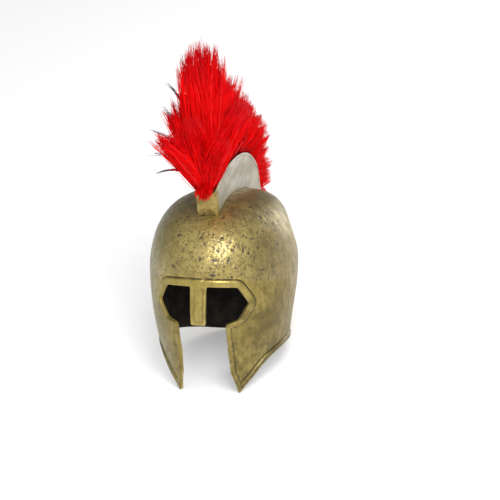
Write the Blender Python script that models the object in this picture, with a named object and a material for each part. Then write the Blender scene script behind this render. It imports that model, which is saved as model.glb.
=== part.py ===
"""Gladiator helmet: a moulded rubber shell with raised borders, an arched crest holder and a red plume.

It is drawn in the wearer's frame: +X to the wearer's left, -Y forwards, +Z up from the brow edge.
It is then tipped back onto its two cheek tips and its neck rim, as it stands on a table.
"""

import math
import random

import bmesh
import bpy
from mathutils import Matrix, Vector, geometry

# Driving sizes of the shell, in metres
HALF_WIDTH = 0.0857
FRONT_REACH = 0.103
BACK_REACH = 0.105
CROWN_HEIGHT = 0.107
CHEEK_DROP = 0.1285
NECK_DROP = 0.069
WALL = 0.003
BORDER_RAISE = 0.0016
FOOT_TRIM = 0.0012

# The face opening, measured in the front view
BROW_EDGE = -0.002
EYE_HALF_WIDTH = 0.0535
EYE_CORNER = 0.0425
EYE_HEIGHT = 0.038
EYE_POINT = 0.47
SLOT_HALF_WIDTH = 0.029
SLOT_SHOULDER = 0.006
SLOT_FOOT = 1.22
NASAL_HALF_WIDTH = 0.0096
NASAL_TAPER = 0.9
NASAL_DROP = 0.046
NASAL_FORWARD = 0.0055
# The slot between the cheek guards, below its shoulders
SLOT_SHAPE = (
    # drop as a share of CHEEK_DROP, half width as a share of SLOT_HALF_WIDTH
    (0.62, 0.985),
    (0.81, 1.02),
    (1.00, SLOT_FOOT),
    (1.20, SLOT_FOOT),
)

# The raised borders
EYE_BORDER = 0.008
SLOT_BORDER = 0.0052
RIM_BORDER = 0.0065
NASAL_BORDER = 0.0034

# The dent in the soft rubber, high on the wearer's left
DENT_DEPTH = 0.005
DENT_SIZE = 0.022
DENT_TURN = math.radians(106)
DENT_HEIGHT = 0.068

# The crest holder, an arch that follows the crown from a post above the forehead to the back of the head
CREST_WIDTH = 0.0245
CREST_HEIGHT = 0.042
CREST_WALL = 0.003
CREST_GAP = 0.0005
CREST_PIVOT_UP = 0.020
CREST_END_WALL = 0.004
LIP_WIDTH = 0.0024
LIP_HEIGHT = 0.0022

# The plume
BACKING_THICK = 0.003
ROOT_MASS = 0.20
ROOT_MASS_TAPER = 0.5
SEAT_GAP = 0.0003
PLUME_LENGTH = 0.150
LOCK_RADIUS = 0.0128
SHORT_LOCK = 0.55
LOCK_SPREAD = math.radians(20)
LOCK_STATIONS = 15
LOCK_SIDES = 5
SIDE_LOCK_LENGTH = 0.80
SIDE_LOCK_PLACE = 0.55
LENGTH_VARIETY = (0.90, 1.02)
LEAN_VARIETY = 4
SPREAD_VARIETY = (0.75, 1.10)
END_MARGIN = 0.03
LOCK_BOW = 0.12
LOCK_SEED = 7
ROOT_SHARE = 0.62
LOCK_SHAPE = (
    # place from root to tip, thickness as a share of the lock's radius
    (0.0, ROOT_SHARE),
    (0.30, 1.0),
    (0.62, 0.90),
    (0.88, 0.50),
)

# How finely curved surfaces are divided
TURN_STEPS = 52
STEPS_PER_ROW = 2
CREST_STEPS = 26
EDGE_STEPS = 36
CUT_REACH = 0.200
CUT_MIDDLE = 0.005

# The shell's level sections, from below the cheek tips to the crown. Height is a share of CHEEK_DROP below
# the brow and of CROWN_HEIGHT above it, and the rest are shares of HALF_WIDTH, FRONT_REACH and BACK_REACH.
SECTIONS = (
    # height, half width, front, back
    (-1.25, 0.52, 0.50, 0.70),
    (-1.01, 0.64, 0.60, 0.76),
    (-0.81, 0.76, 0.69, 0.84),
    (-0.62, 0.85, 0.77, 0.93),
    (-0.47, 0.90, 0.86, 0.94),
    (-0.25, 0.95, 0.955, 0.945),
    (0.00, 0.992, 1.00, 0.985),
    (0.22, 1.00, 1.00, 1.00),
    (0.43, 0.973, 0.94, 0.99),
    (0.59, 0.92, 0.845, 0.955),
    (0.72, 0.845, 0.71, 0.905),
    (0.83, 0.74, 0.52, 0.83),
    (0.91, 0.61, 0.32, 0.745),
    (0.965, 0.45, 0.09, 0.64),
    (0.992, 0.26, -0.13, 0.50),
    (1.00, 0.00, -0.35, 0.3433),
)

# The shell's lower edge seen from the side, from the cheek tip to the nape. Back is a share of FRONT_REACH
# before the middle and of BACK_REACH behind it. Fall is 0 at NECK_DROP and 1 at CHEEK_DROP.
LOWER_EDGE = (
    # back, fall
    (-0.470, 1.130),
    (-0.450, 1.000),
    (-0.425, 0.816),
    (-0.345, 0.470),
    (-0.235, 0.255),
    (0.020, 0.050),
    (0.300, -0.028),
    (0.675, -0.032),
    (0.880, 0.000),
    (1.100, 0.006),
)

# The crest's cross-sections along its arch. Each stands on the line from a pivot inside the head, whose place
# is a share of FRONT_REACH forwards, and its height is a share of CREST_HEIGHT.
CREST_PROFILE = (
    # along, pitch in degrees from the front over the top, pivot, height
    (0.00, 66, 0.454, 0.74),
    (0.12, 76, 0.370, 0.78),
    (0.28, 92, 0.200, 0.92),
    (0.44, 108, 0.000, 1.04),
    (0.58, 122, -0.117, 0.92),
    (0.70, 135, -0.117, 0.72),
    (0.84, 154, -0.117, 0.54),
    (1.00, 178, -0.117, 0.36),
)
# The plume's locks along the crest. Length is a share of PLUME_LENGTH.
PLUME_PROFILE = (
    # along, length, lean forwards in degrees from upright
    (0.00, 1.02, -6),
    (0.10, 0.90, -8),
    (0.22, 0.70, -10),
    (0.36, 0.57, -24),
    (0.50, 0.43, -42),
    (0.60, 0.36, -60),
    (0.70, 0.30, -72),
    (0.84, 0.24, -91),
    (1.00, 0.22, -112),
)
# Stray tufts at the front, with their spread sideways in degrees. Length is a share of PLUME_LENGTH.
STRAY_TUFTS = (
    # along, side, length, lean, spread
    (0.02, -0.5, 0.63, 43, -28),
    (0.00, -0.5, 0.50, 38, -22),
    (0.05, -0.5, 0.68, 9, -27),
    (0.02, 0.5, 0.58, 40, 24),
    (0.00, 0.5, 0.36, 44, 18),
    (0.05, 0.5, 0.66, 8, 26),
    (0.00, 0.0, 0.62, 30, -4),
    (0.02, -0.4, 1.06, 6, -8),
    (0.03, 0.0, 1.12, 0, -5),
    (0.05, 0.2, 1.08, -3, -1),
    (0.05, 0.3, 0.99, -4, 2),
    (0.08, 0.3, 0.86, -7, 9),
)


def between(table, key, column):
    """Reads a table of rows at a key, on a smooth curve through the rows."""
    last = len(table) - 2
    i = next((k for k in range(last) if key < table[k + 1][0]), last)
    rows = [table[min(max(k, 0), len(table) - 1)] for k in (i - 1, i, i + 1, i + 2)]
    span = rows[2][0] - rows[1][0]
    slopes = []
    for before, after in ((rows[0], rows[2]), (rows[1], rows[3])):
        slopes.append((after[column] - before[column]) / (after[0] - before[0]) * span)
    u = min(max((key - rows[1][0]) / span, 0.0), 1.0)
    start = rows[1][column]
    rise = rows[2][column] - start
    return start + slopes[0] * u + (3 * rise - 2 * slopes[0] - slopes[1]) * u**2 + (
        slopes[0] + slopes[1] - 2 * rise
    ) * u**3


def section(row):
    """Height, half width, front reach and back reach of the shell at a row number, or between two rows."""
    last = len(SECTIONS) - 2
    i = min(int(row), last)
    u = row - i
    p = [SECTIONS[min(max(k, 0), last + 1)] for k in (i - 1, i, i + 1, i + 2)]
    values = []
    for column in range(4):
        a, b, c, d = (r[column] for r in p)
        values.append(b + 0.5 * u * (c - a + u * (2 * a - 5 * b + 4 * c - d + u * (3 * (b - c) + d - a))))
    height, width, front, back = values
    return (
        height * (CROWN_HEIGHT if height > 0 else CHEEK_DROP),
        width * HALF_WIDTH,
        front * FRONT_REACH,
        back * BACK_REACH,
    )


def row_at(height):
    """The row number whose section lies at a height."""
    low, high = 0.0, len(SECTIONS) - 1.0
    for _ in range(40):
        middle = (low + high) / 2
        if section(middle)[0] < height:
            low = middle
        else:
            high = middle
    return low


def smooth_step(value):
    value = min(max(value, 0.0), 1.0)
    return value * value * (3 - 2 * value)


def plain_skin(row, turn):
    """A point on the shell's outer skin without its nasal guard and its dent."""
    height, width, front, back = section(row)
    x = width * math.sin(turn)
    y = (back - front) / 2 - (back + front) / 2 * math.cos(turn)
    return Vector((x, y, height))


DENT_CENTRE = plain_skin(row_at(DENT_HEIGHT), DENT_TURN)


def dent(point):
    """How far the soft rubber is pressed in at a point."""
    return DENT_DEPTH * math.exp(-((point - DENT_CENTRE).length / DENT_SIZE) ** 2)


def nasal_push(x, z):
    """How far the nasal guard stands forwards of the shell, more towards its tip."""
    down = min(max((BROW_EDGE - z) / NASAL_DROP, 0.0), 1.0)
    side = 1 - smooth_step((abs(x) - NASAL_HALF_WIDTH) / (SLOT_HALF_WIDTH - NASAL_HALF_WIDTH))
    return NASAL_FORWARD * down * side


def skin(row, turn, lift=0.0):
    """A point on the shell's outer skin, or lifted off it. Turn runs from the front to the wearer's left."""
    step = 0.02
    top = len(SECTIONS) - 1
    point = plain_skin(row, turn)
    across = plain_skin(row, turn + step) - plain_skin(row, turn - step)
    along = plain_skin(min(row + step, top), turn) - plain_skin(max(row - step, 0), turn)
    normal = Vector((0, 0, 1)) if row > top - step else across.cross(along).normalized()
    point += normal * (lift - dent(point))
    if math.cos(turn) > 0:
        point.y -= nasal_push(point.x, point.z)
    return point


def mesh_object(name, bm):
    bmesh.ops.recalc_face_normals(bm, faces=bm.faces)
    mesh = bpy.data.meshes.new(name)
    bm.to_mesh(mesh)
    bm.free()
    obj = bpy.data.objects.new(name, mesh)
    bpy.context.scene.collection.objects.link(obj)
    return obj


def bridge_rings(bm, rings, closed=False):
    """Joins rings of equal length into a tube, and the last to the first when closed."""
    pairs = list(zip(rings, rings[1:])) + ([(rings[-1], rings[0])] if closed else [])
    for low, high in pairs:
        for i in range(len(low)):
            j = (i + 1) % len(low)
            bm.faces.new((low[i], low[j], high[j], high[i]))


def skin_rings(bm, first, last, lift):
    rings = []
    count = round((last - first) * STEPS_PER_ROW)
    for i in range(count + 1):
        row = first + (last - first) * i / count
        turns = (2 * math.pi * k / TURN_STEPS for k in range(TURN_STEPS))
        rings.append([bm.verts.new(skin(row, turn, lift)) for turn in turns])
    return rings


def shell_blank():
    """The whole dome and skirt with no openings, open at the bottom."""
    bm = bmesh.new()
    top = len(SECTIONS) - 1
    stop = top - 1 / STEPS_PER_ROW
    outer = skin_rings(bm, 0, stop, 0)
    inner = skin_rings(bm, 0, stop, -WALL)
    bridge_rings(bm, outer[::-1] + inner)
    for rings, lift in ((outer, 0), (inner, -WALL)):
        apex = bm.verts.new(skin(top, 0, lift))
        for i in range(TURN_STEPS):
            bm.faces.new((rings[-1][i], rings[-1][(i + 1) % TURN_STEPS], apex))
    return mesh_object("shell_blank", bm)


def border_blank():
    """A band lifted off the skirt and brow, from which the raised borders are cut."""
    bm = bmesh.new()
    last = math.ceil(row_at(BROW_EDGE + 2 * EYE_BORDER) * STEPS_PER_ROW) / STEPS_PER_ROW
    outer = skin_rings(bm, 0, last, BORDER_RAISE)
    inner = skin_rings(bm, 0, last, -WALL / 2)
    bridge_rings(bm, outer + inner[::-1], closed=True)
    return mesh_object("border_blank", bm)


def mirrored(half):
    """A closed outline from its half on the wearer's left, given as (x, z) points."""
    return half + [(-x, z) for x, z in reversed(half) if x > 0]


def widened(line, widths):
    """Moves each side of an open outline outwards by its own width, and joins the sides where they meet."""
    corners = [Vector(point) for point in line]
    normals = []
    for a, b in zip(corners, corners[1:]):
        ahead = (b - a).normalized()
        normals.append(Vector((-ahead.y, ahead.x)))
    moved = [corners[0] + normals[0] * widths[0]]
    for i in range(1, len(corners) - 1):
        before, after = normals[i - 1], normals[i]
        turn = before.x * after.y - before.y * after.x
        x = (widths[i - 1] * after.y - widths[i] * before.y) / turn
        y = (widths[i] * before.x - widths[i - 1] * after.x) / turn
        moved.append(corners[i] + Vector((x, y)))
    moved.append(corners[-1] + normals[-1] * widths[-1])
    return [tuple(point) for point in moved]


def prism(name, near, far):
    """A block between two copies of an outline, given as matching lists of points."""
    bm = bmesh.new()
    rings = [[bm.verts.new(point) for point in points] for points in (near, far)]
    bridge_rings(bm, rings)
    for points, ring in ((near, rings[0]), (far, rings[1])):
        for corners in geometry.tessellate_polygon([[Vector(point) for point in points]]):
            bm.faces.new([ring[i] for i in corners])
    return mesh_object(name, bm)


def front_prism(name, outline):
    """A block that runs forwards through the face from an outline of (x, z) points."""
    near = [(x, -CUT_REACH, z) for x, z in outline]
    far = [(x, -CUT_MIDDLE, z) for x, z in outline]
    return prism(name, near, far)


def side_prism(name, outline):
    """A block that runs across the whole head from an outline of (y, z) points."""
    near = [(-CUT_REACH, y, z) for y, z in outline]
    far = [(CUT_REACH, y, z) for y, z in outline]
    return prism(name, near, far)


def lower_edge(rise):
    """Points of the shell's lower edge in the side view, raised square to the edge by a distance."""
    line = []
    for k in range(EDGE_STEPS + 1):
        back = LOWER_EDGE[0][0] + (LOWER_EDGE[-1][0] - LOWER_EDGE[0][0]) * k / EDGE_STEPS
        y = back * (FRONT_REACH if back < 0 else BACK_REACH)
        fall = between(LOWER_EDGE, back, 1)
        line.append(Vector((y, -NECK_DROP - (CHEEK_DROP - NECK_DROP) * fall)))
    raised = []
    for k, point in enumerate(line):
        ahead = (line[min(k + 1, EDGE_STEPS)] - line[max(k - 1, 0)]).normalized()
        raised.append(point + Vector((-ahead.y, ahead.x)) * rise)
    return raised


def below_edge(name, rise):
    """A block of everything below the lower edge, raised by a distance."""
    line = [tuple(point) for point in lower_edge(rise)]
    front, back = (-CUT_REACH, line[0][1]), (CUT_REACH, line[-1][1])
    return side_prism(name, [front, *line, back, (CUT_REACH, -CUT_REACH), (-CUT_REACH, -CUT_REACH)])


def apply_boolean(obj, other, operation, crossing=False):
    """Adds, cuts or keeps the common part of another object, which may cross itself, and removes it."""
    modifier = obj.modifiers.new(operation.lower(), "BOOLEAN")
    modifier.use_self = crossing
    modifier.operation = operation
    modifier.object = other
    graph = bpy.context.evaluated_depsgraph_get()
    made = bpy.data.meshes.new_from_object(obj.evaluated_get(graph))
    obj.modifiers.clear()
    obj.data = made
    bpy.data.objects.remove(other)


def eye_and_slot():
    """The face opening's edge on the wearer's left, from the nasal guard round the eye and down the slot."""
    eye_low = BROW_EDGE - EYE_HEIGHT
    return [
        (NASAL_HALF_WIDTH, BROW_EDGE),
        (EYE_CORNER, BROW_EDGE),
        (EYE_HALF_WIDTH, BROW_EDGE - EYE_HEIGHT * EYE_POINT),
        (EYE_CORNER, eye_low),
        (SLOT_HALF_WIDTH, eye_low - SLOT_SHOULDER),
        *((SLOT_HALF_WIDTH * width, -CHEEK_DROP * drop) for drop, width in SLOT_SHAPE),
    ]


def face_opening():
    nasal_tip = [(0, -NASAL_DROP), (NASAL_HALF_WIDTH * NASAL_TAPER, -NASAL_DROP)]
    return front_prism("face_opening", mirrored(nasal_tip + eye_and_slot()))


def face_border():
    """A block through the face opening and the raised border round it."""
    edge = eye_and_slot()
    widths = [EYE_BORDER] * 3 + [SLOT_BORDER] * (len(edge) - 4)
    return front_prism("face_border", mirrored(widened(edge, widths)))


def nasal_field():
    """The sunk field inside the nasal guard's border."""
    side = NASAL_HALF_WIDTH - NASAL_BORDER
    half = [(side, BROW_EDGE - NASAL_BORDER), (side * NASAL_TAPER, NASAL_BORDER - NASAL_DROP)]
    return front_prism("nasal_field", mirrored(half))


def stance(points):
    """Tilt and height of the line from the cheek tips to the nape that the helmet stands on."""
    flat = [Vector((p.y, p.z)) for p in points]
    hull = [flat[i] for i in geometry.convex_hull_2d(flat)]
    for a, b in zip(hull, hull[1:] + hull[:1]):
        front, back = sorted((a, b), key=lambda p: p.x)
        if front.x < 0 < back.x and max(front.y, back.y) < 0:
            tilt = math.atan2(back.y - front.y, back.x - front.x)
            return tilt, front.y * math.cos(tilt) - front.x * math.sin(tilt)
    raise ValueError("the shell has no line to stand on")


def paint(obj, material):
    obj.data.materials.clear()
    obj.data.materials.append(material)


def shell(material):
    obj = shell_blank()
    border = border_blank()
    area = face_border()
    apply_boolean(area, below_edge("rim_border", RIM_BORDER), "UNION")
    apply_boolean(border, area, "INTERSECT")
    apply_boolean(border, nasal_field(), "DIFFERENCE")
    apply_boolean(obj, border, "UNION")
    apply_boolean(obj, face_opening(), "DIFFERENCE")
    apply_boolean(obj, below_edge("below", 0), "DIFFERENCE")
    obj.name = "helmet_shell"
    paint(obj, material)
    return obj


def trim_feet(obj, tilt, level):
    """Flattens the cheek tips and the nape where they stand."""
    bm = bmesh.new()
    bmesh.ops.create_cube(bm, size=1)
    turn = Matrix.Rotation(tilt, 4, "X")
    lift = Matrix.Translation((0, 0, level + FOOT_TRIM - 0.5))
    bmesh.ops.transform(bm, matrix=turn @ lift, verts=bm.verts)
    apply_boolean(obj, mesh_object("floor_block", bm), "DIFFERENCE")


def crest_line(along):
    """The pivot and the direction of the crest's cross-section at a place along its arch."""
    pitch = math.radians(between(CREST_PROFILE, along, 1))
    pivot = Vector((0, -FRONT_REACH * between(CREST_PROFILE, along, 2), CREST_PIVOT_UP))
    return pivot, Vector((0, -math.cos(pitch), math.sin(pitch)))


def arch_point(x, along, radius):
    pivot, direction = crest_line(along)
    return pivot + direction * radius + Vector((x, 0, 0))


def reach(x, along):
    """Distance from the crest's pivot to the skin in the upright plane at x."""
    low, high = 0.0, 2 * BACK_REACH
    for _ in range(40):
        middle = (low + high) / 2
        point = arch_point(x, along, middle)
        inside = False
        if point.z < CROWN_HEIGHT:
            _, width, front, back = section(row_at(point.z))
            if width > 0:
                off = (point.y - (back - front) / 2) / ((back + front) / 2)
                inside = (x / width) ** 2 + off**2 < 1
        low, high = (middle, high) if inside else (low, middle)
    return low


def crest_top(along):
    """Distance of the crest's upper edge from the pivot."""
    return reach(0, along) + CREST_HEIGHT * between(CREST_PROFILE, along, 3)


def crest_square(along):
    """The direction square to the crest's upper edge at a place along it, away from the head."""
    step = 0.5 / CREST_STEPS
    before, after = (arch_point(0, place, crest_top(place)) for place in (along - step, along + step))
    return Vector((1, 0, 0)).cross(after - before).normalized()


def arch(name, columns, first, last, steps):
    """Sweeps a cross-section along the crest. Columns gives its (x, radius) points at a place."""
    bm = bmesh.new()
    rings = []
    for k in range(steps + 1):
        along = first + (last - first) * k / steps
        rings.append([bm.verts.new(arch_point(x, along, radius)) for x, radius in columns(along)])
    bridge_rings(bm, rings)
    for end in (rings[0], rings[-1]):
        bm.faces.new(end)
    return mesh_object(name, bm)


def crest_length():
    """Length of the crest's upper edge, on which shares along the arch are measured."""
    points = [arch_point(0, k / CREST_STEPS, crest_top(k / CREST_STEPS)) for k in range(CREST_STEPS + 1)]
    return sum((b - a).length for a, b in zip(points, points[1:]))


def crest_holder(material):
    """The arch itself, hollow from below, with a lip each side of the groove that the plume sits in."""
    half = CREST_WIDTH / 2
    lip = half - LIP_WIDTH

    def outside(along):
        top = crest_top(along)
        seat = [reach(x, along) + CREST_GAP for x in (half, half - CREST_WALL, 0)]
        floor = top - LIP_HEIGHT
        return [
            (-half, seat[0]),
            (-half, top),
            (-lip, top),
            (-lip, floor),
            (lip, floor),
            (lip, top),
            (half, top),
            (half, seat[0]),
            (half - CREST_WALL, seat[1]),
            (0, seat[2]),
            (CREST_WALL - half, seat[1]),
        ]

    def hollow(along):
        side = half - CREST_WALL
        top = crest_top(along) - LIP_HEIGHT - CREST_WALL
        low = reach(half, along) - CREST_HEIGHT / 4
        return [(-side, low), (-side, top), (side, top), (side, low)]

    obj = arch("crest_holder", outside, 0, 1, CREST_STEPS)
    end = CREST_END_WALL / crest_length()
    apply_boolean(obj, arch("crest_hollow", hollow, end, 1 - end, CREST_STEPS), "DIFFERENCE")
    paint(obj, material)
    return obj


def lock(bm, root, outward, tip, bow, radius):
    """One pointed lock of hair along a bowed line. Its foot is a flat ring on the backing."""
    middle = (root + tip) / 2 + bow
    across = Vector((1, 0, 0))
    rings = []
    for u, share in LOCK_SHAPE:
        point = root * (1 - u) ** 2 + middle * 2 * u * (1 - u) + tip * u * u
        ahead = outward if u == 0 else (middle - root) * (1 - u) + (tip - middle) * u
        side = ahead.cross(across).normalized()
        rings.append([])
        for k in range(LOCK_SIDES):
            spoke = Matrix.Rotation(2 * math.pi * k / LOCK_SIDES, 3, ahead) @ side
            rings[-1].append(bm.verts.new(point + spoke * radius * share))
    bridge_rings(bm, rings)
    bm.faces.new(rings[0])
    end = bm.verts.new(tip)
    for k in range(LOCK_SIDES):
        bm.faces.new((rings[-1][k], rings[-1][(k + 1) % LOCK_SIDES], end))


def fill_trapped_hollows(obj):
    """Keeps the outer skin alone, so that no hollow is sealed in between the locks."""
    bm = bmesh.new()
    bm.from_mesh(obj.data)
    left = set(bm.faces)
    skins = []
    while left:
        skin_faces = set()
        edge_of_it = [left.pop()]
        while edge_of_it:
            face = edge_of_it.pop()
            skin_faces.add(face)
            near = {other for edge in face.edges for other in edge.link_faces} & left
            left -= near
            edge_of_it.extend(near)
        skins.append(skin_faces)
    outer = max(skins, key=len)
    bmesh.ops.delete(bm, geom=[face for face in bm.faces if face not in outer], context="FACES")
    bm.to_mesh(obj.data)
    bm.free()


def lock_direction(lean, spread):
    """A direction that leans forwards and spreads sideways, both in radians from upright."""
    return Vector((math.sin(spread), -math.sin(lean) * math.cos(spread), math.cos(lean) * math.cos(spread)))


def lock_places():
    """Every lock as place along the crest, side from -1 to 1, length, lean and spread."""
    chance = random.Random(LOCK_SEED)
    for k in range(LOCK_STATIONS):
        for side in (-1, 0, 1):
            along = (k + 0.5 + 0.25 * side) / LOCK_STATIONS
            length = between(PLUME_PROFILE, along, 1) * chance.uniform(*LENGTH_VARIETY)
            lean = between(PLUME_PROFILE, along, 2) + chance.uniform(-LEAN_VARIETY, LEAN_VARIETY)
            spread = side * LOCK_SPREAD * chance.uniform(*SPREAD_VARIETY)
            if side:
                length *= SIDE_LOCK_LENGTH
            yield along, side * SIDE_LOCK_PLACE, length, math.radians(lean), spread
    for along, side, length, lean, spread in STRAY_TUFTS:
        yield along, side, length, math.radians(lean), math.radians(spread)


def plume(material):
    """Locks of hair fused to a backing strip in the crest's groove and to the dense hair on it."""
    half = CREST_WIDTH / 2 - LIP_WIDTH - SEAT_GAP

    def strip(along):
        low = crest_top(along) - LIP_HEIGHT + SEAT_GAP
        high = low + BACKING_THICK
        dense = high + PLUME_LENGTH * ROOT_MASS * between(PLUME_PROFILE, along, 1)
        narrow = half * ROOT_MASS_TAPER
        return [(-half, low), (-half, high), (-narrow, dense), (narrow, dense), (half, high), (half, low)]

    end = SEAT_GAP / crest_length()
    obj = arch("plume", strip, end, 1 - end, CREST_STEPS)
    bm = bmesh.new()
    for along, side, length, lean, spread in lock_places():
        along = min(max(along, END_MARGIN), 1 - END_MARGIN)
        low = crest_top(along) - LIP_HEIGHT + SEAT_GAP
        radius = LOCK_RADIUS * (SHORT_LOCK + (1 - SHORT_LOCK) * length)
        root = arch_point(side * (half - radius * ROOT_SHARE), along, low + BACKING_THICK / 2)
        outward = crest_square(along)
        direction = lock_direction(lean, spread)
        stretch = direction * PLUME_LENGTH * length
        bow = (outward - direction * outward.dot(direction)) * PLUME_LENGTH * length * LOCK_BOW
        lock(bm, root, outward, root + stretch, bow, radius)
    apply_boolean(obj, mesh_object("locks", bm), "UNION", crossing=True)
    fill_trapped_hollows(obj)
    paint(obj, material)
    return obj


def finish(name, colour, roughness, metallic):
    material = bpy.data.materials.new(name)
    material.use_nodes = True
    shader = material.node_tree.nodes["Principled BSDF"]
    shader.inputs["Base Color"].default_value = (*colour, 1)
    shader.inputs["Roughness"].default_value = roughness
    shader.inputs["Metallic"].default_value = metallic
    return material


def smooth(obj):
    obj.data.shade_smooth()
    obj.data.set_sharp_from_angle(angle=math.radians(35))


def stand_up(objects, tilt, level):
    """Parents the pieces to an empty that tips them back onto the floor, with the origin under the middle."""
    turn = Matrix.Rotation(-tilt, 4, "X")
    places = [turn @ v.co for obj in objects for v in obj.data.vertices]
    middle = (min(p.y for p in places) + max(p.y for p in places)) / 2
    empty = bpy.data.objects.new("helmet", None)
    bpy.context.scene.collection.objects.link(empty)
    empty.rotation_euler = (-tilt, 0, 0)
    empty.location = (0, -middle, -(level + FOOT_TRIM))
    for obj in objects:
        obj.parent = empty


def main():
    for obj in list(bpy.data.objects):
        bpy.data.objects.remove(obj)
    gold = finish("antique_gold", (0.42, 0.33, 0.12), 0.42, 0.85)
    pale = finish("crest_gold", (0.50, 0.43, 0.24), 0.45, 0.7)
    red = finish("red_hair", (0.62, 0.005, 0.01), 0.55, 0.0)
    helmet = shell(gold)
    tilt, level = stance([v.co for v in helmet.data.vertices])
    trim_feet(helmet, tilt, level)
    pieces = [helmet, crest_holder(pale), plume(red)]
    for piece in pieces:
        smooth(piece)
    stand_up(pieces, tilt, level)


main()
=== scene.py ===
"""Looks of the gladiator helmet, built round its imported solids.

Shapes are worked out in the wearer's frame: +X to the wearer's left, -Y forwards, +Z up from the brow edge.
A last step tips them back onto the cheek tips and the neck rim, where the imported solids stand.
"""

import math
import random

import bmesh
import bpy
import numpy as np
from mathutils import Matrix, Vector, geometry, kdtree, noise


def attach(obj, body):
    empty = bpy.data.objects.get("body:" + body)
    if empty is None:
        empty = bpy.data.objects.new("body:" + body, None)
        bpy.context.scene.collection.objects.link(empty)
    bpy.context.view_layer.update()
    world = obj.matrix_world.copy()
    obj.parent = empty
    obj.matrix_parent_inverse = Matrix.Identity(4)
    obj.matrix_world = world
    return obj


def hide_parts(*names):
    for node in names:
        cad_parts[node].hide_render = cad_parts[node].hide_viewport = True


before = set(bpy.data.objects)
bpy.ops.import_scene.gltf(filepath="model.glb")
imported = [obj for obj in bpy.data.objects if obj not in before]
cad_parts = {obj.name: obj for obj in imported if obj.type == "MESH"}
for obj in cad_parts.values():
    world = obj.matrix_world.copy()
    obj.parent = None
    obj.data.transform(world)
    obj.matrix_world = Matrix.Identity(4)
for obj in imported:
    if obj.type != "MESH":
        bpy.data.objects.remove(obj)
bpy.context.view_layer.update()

# Sizes of the solids, in metres
HALF_WIDTH = 0.0857
FRONT_REACH = 0.103
BACK_REACH = 0.105
CROWN_HEIGHT = 0.107
CHEEK_DROP = 0.1285
NECK_DROP = 0.069
WALL = 0.003
BORDER_RAISE = 0.0016
BROW_EDGE = -0.002
EYE_HALF_WIDTH = 0.0535
EYE_CORNER = 0.0425
EYE_HEIGHT = 0.038
EYE_POINT = 0.47
SLOT_HALF_WIDTH = 0.029
SLOT_SHOULDER = 0.006
SLOT_FOOT = 1.22
NASAL_HALF_WIDTH = 0.0096
NASAL_TAPER = 0.9
NASAL_DROP = 0.046
NASAL_FORWARD = 0.0055
EYE_BORDER = 0.008
SLOT_BORDER = 0.0052
RIM_BORDER = 0.0065
NASAL_BORDER = 0.0034
DENT_DEPTH = 0.005
DENT_SIZE = 0.022
DENT_TURN = math.radians(106)
DENT_HEIGHT = 0.068
CREST_WIDTH = 0.0245
CREST_WALL = 0.003
CREST_HEIGHT = 0.042
CREST_PIVOT_UP = 0.020
LIP_WIDTH = 0.0024
LIP_HEIGHT = 0.0022
SEAT_GAP = 0.0003
BACKING_THICK = 0.003
PLUME_LENGTH = 0.150
LOCK_RADIUS = 0.0128
SHORT_LOCK = 0.55
LOCK_SPREAD = math.radians(20)
LOCK_STATIONS = 15
SIDE_LOCK_LENGTH = 0.80
SIDE_LOCK_PLACE = 0.55
LENGTH_VARIETY = (0.90, 1.02)
LEAN_VARIETY = 4
SPREAD_VARIETY = (0.75, 1.10)
END_MARGIN = 0.03
LOCK_BOW = 0.12
LOCK_SEED = 7
ROOT_SHARE = 0.62
STANCE_TILT = math.radians(22.6007)

# How far the hair of a lock spreads along its length
LOCK_SPREADS = (
    # along, share of the lock's radius
    (0.00, 0.58),
    (0.30, 1.00),
    (0.62, 1.10),
    (0.88, 1.02),
    (1.00, 0.88),
)

# The slot between the cheek guards, below its shoulders
SLOT_SHAPE = (
    # drop as a share of CHEEK_DROP, half width as a share of SLOT_HALF_WIDTH
    (0.62, 0.985),
    (0.81, 1.02),
    (1.00, SLOT_FOOT),
    (1.20, SLOT_FOOT),
)
# The shell's level sections, as shares of CHEEK_DROP or CROWN_HEIGHT, HALF_WIDTH, FRONT_REACH and BACK_REACH
SECTIONS = (
    # height, half width, front, back
    (-1.25, 0.52, 0.50, 0.70),
    (-1.01, 0.64, 0.60, 0.76),
    (-0.81, 0.76, 0.69, 0.84),
    (-0.62, 0.85, 0.77, 0.93),
    (-0.47, 0.90, 0.86, 0.94),
    (-0.25, 0.95, 0.955, 0.945),
    (0.00, 0.992, 1.00, 0.985),
    (0.22, 1.00, 1.00, 1.00),
    (0.43, 0.973, 0.94, 0.99),
    (0.59, 0.92, 0.845, 0.955),
    (0.72, 0.845, 0.71, 0.905),
    (0.83, 0.74, 0.52, 0.83),
    (0.91, 0.61, 0.32, 0.745),
    (0.965, 0.45, 0.09, 0.64),
    (0.992, 0.26, -0.13, 0.50),
    (1.00, 0.00, -0.35, 0.3433),
)
# The shell's lower edge in the side view. Back is a share of FRONT_REACH or BACK_REACH, and fall is 0 at
# NECK_DROP and 1 at CHEEK_DROP.
LOWER_EDGE = (
    # back, fall
    (-0.470, 1.130),
    (-0.450, 1.000),
    (-0.425, 0.816),
    (-0.345, 0.470),
    (-0.235, 0.255),
    (0.020, 0.050),
    (0.300, -0.028),
    (0.675, -0.032),
    (0.880, 0.000),
    (1.100, 0.006),
)
# The crest's cross-sections along its arch
CREST_PROFILE = (
    # along, pitch in degrees from the front over the top, pivot, height
    (0.00, 66, 0.454, 0.74),
    (0.12, 76, 0.370, 0.78),
    (0.28, 92, 0.200, 0.92),
    (0.44, 108, 0.000, 1.04),
    (0.58, 122, -0.117, 0.92),
    (0.70, 135, -0.117, 0.72),
    (0.84, 154, -0.117, 0.54),
    (1.00, 178, -0.117, 0.36),
)
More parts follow.
